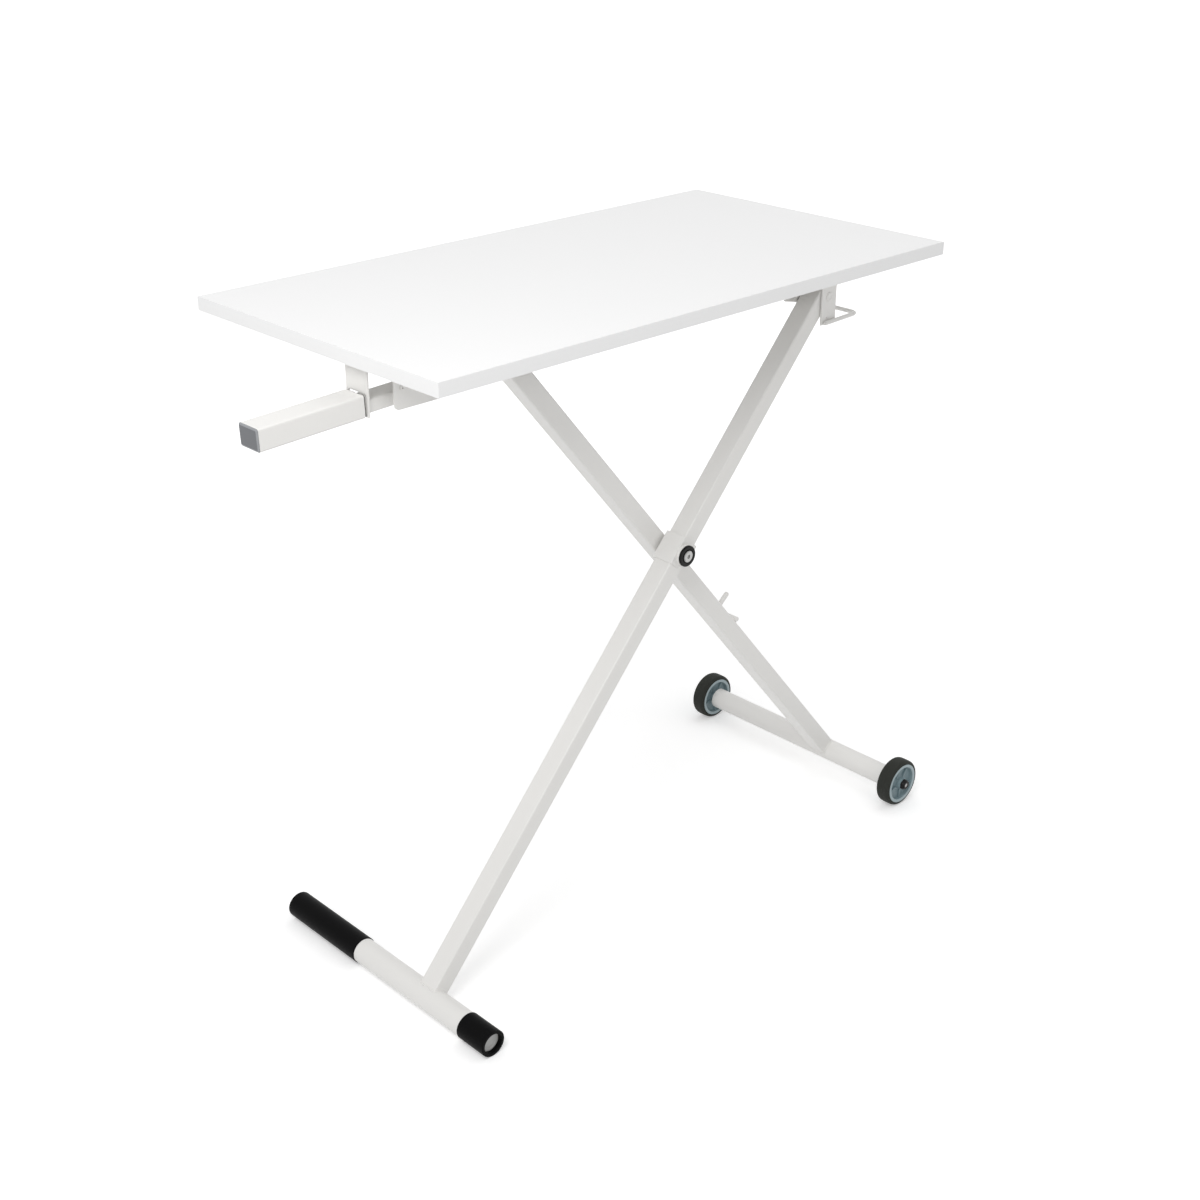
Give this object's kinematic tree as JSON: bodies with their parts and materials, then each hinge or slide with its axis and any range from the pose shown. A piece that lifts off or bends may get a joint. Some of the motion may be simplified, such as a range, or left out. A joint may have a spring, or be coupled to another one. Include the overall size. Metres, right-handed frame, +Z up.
{
  "type": "height-adjustable folding standing desk",
  "caption": "Standing desk on a crossed pair of legs that fold to lower it, with a release lever, a gas spring and a wheeled rear end.",
  "frame": {"origin": "on the floor, under the middle of the whole desk's box at rest", "axes": "+X along the desk from the lever end to the wheel end, +Y across it from the user's open side to the far side, +Z up"},
  "size_m": [1.3032, 0.546, 1.0928],
  "materials": {
    "laminate": "white laminate over particle board, satin",
    "powder_coat": "warm white powder coat, fine texture",
    "zinc_steel": "bright zinc",
    "black_plastic": "satin black",
    "black_paint": "smooth black",
    "grip_rubber": "smooth black",
    "plug_plastic": "light grey, satin",
    "tyre_rubber": "dark grey, matt",
    "hub_plastic": "grey blue, satin",
    "cap_plastic": "grey blue, satin"
  },
  "bodies": {
    "top": {"tabletop": "laminate", "edge_bands": "laminate", "rail": "powder_coat", "rail_ledges": "powder_coat", "board_screws": "zinc_steel", "hinge_bracket": "powder_coat", "hinge_bolt": "powder_coat", "hinge_nut": "zinc_steel", "wire_loop": "powder_coat", "stirrup": "powder_coat", "anchor_plate": "powder_coat", "anchor_nuts": "zinc_steel", "anchor_bolt": "powder_coat", "gas_rod": "zinc_steel", "gas_piston": "zinc_steel", "lever_pin": "powder_coat", "lever_spring": "zinc_steel"},
    "front_frame": {"front_leg": "powder_coat", "hinge_bushes": "black_plastic", "front_leg_plug": "black_plastic", "pivot_saddle": "powder_coat", "pivot_bolt": "zinc_steel", "pivot_cap": "black_plastic", "pivot_spacer": "plug_plastic", "pivot_nut": "zinc_steel", "foot_bar": "powder_coat", "far_grip": "grip_rubber", "near_grip": "grip_rubber", "foot_plugs": "plug_plastic"},
    "rear_frame": {"rear_leg": "powder_coat", "rear_tongue": "powder_coat", "rear_bush": "black_plastic", "upright_peg": "powder_coat", "lying_peg": "powder_coat", "axle_tube": "powder_coat", "axle_plugs": "powder_coat", "axle_rod": "zinc_steel", "axle_caps": "black_plastic"},
    "slider": {"slider_frame": "powder_coat", "slider_glides": "black_plastic", "slider_pin": "zinc_steel", "gas_cylinder": "black_paint", "gas_gland": "black_paint", "cylinder_nut": "zinc_steel"},
    "near_wheel": {"near_tyre": "tyre_rubber", "near_hub": "hub_plastic", "near_bushes": "black_plastic"},
    "far_wheel": {"far_tyre": "tyre_rubber", "far_hub": "hub_plastic", "far_bushes": "black_plastic"},
    "lever": {"lever_neck": "powder_coat", "handle_tube": "powder_coat", "handle_insert": "black_plastic", "handle_cap": "cap_plastic"},
    "release": {"release_pin": "zinc_steel"}
  },
  "joints": [
    {"name": "height_fold", "type": "hinge", "parent": "top", "child": "front_frame", "pos_m": [0.45314, -0.1052, 0.99289], "axis": [0, 1, 0], "range_deg": [0, 17.2]},
    {"name": "cross_pivot", "type": "hinge", "parent": "front_frame", "child": "rear_frame", "pos_m": [0.11795, -0.0832, 0.6277], "axis": [0, 1, 0], "range_deg": [-34.4, 0]},
    {"name": "slider_pivot", "type": "hinge", "parent": "rear_frame", "child": "slider", "pos_m": [-0.21725, -0.0612, 0.99289], "axis": [0, 1, 0], "range_deg": [0, 17.2]},
    {"name": "near_wheel_spin", "type": "hinge", "parent": "rear_frame", "child": "near_wheel", "pos_m": [0.60648, -0.2375, 0.045], "axis": [0, 1, 0], "continuous": true},
    {"name": "far_wheel_spin", "type": "hinge", "parent": "rear_frame", "child": "far_wheel", "pos_m": [0.60648, 0.2375, 0.045], "axis": [0, 1, 0], "continuous": true},
    {"name": "lever_lift", "type": "hinge", "parent": "top", "child": "lever", "pos_m": [-0.39316, -0.0832, 1.01749], "axis": [0, 1, 0], "range_deg": [0, 4], "stiffness_Nm_per_rad": 12, "springref_deg": -14.32},
    {"name": "release_push", "type": "slide", "parent": "top", "child": "release", "axis": [1, 0, 0], "range_m": [0, 0.0016]}
  ],
  "couplings": [
    {"joint": "cross_pivot", "follows": "height_fold", "ratio": -2},
    {"joint": "slider_pivot", "follows": "height_fold", "ratio": 1},
    {"joint": "release_push", "follows": "lever_lift", "m_per_rad": 0.0227}
  ]
}
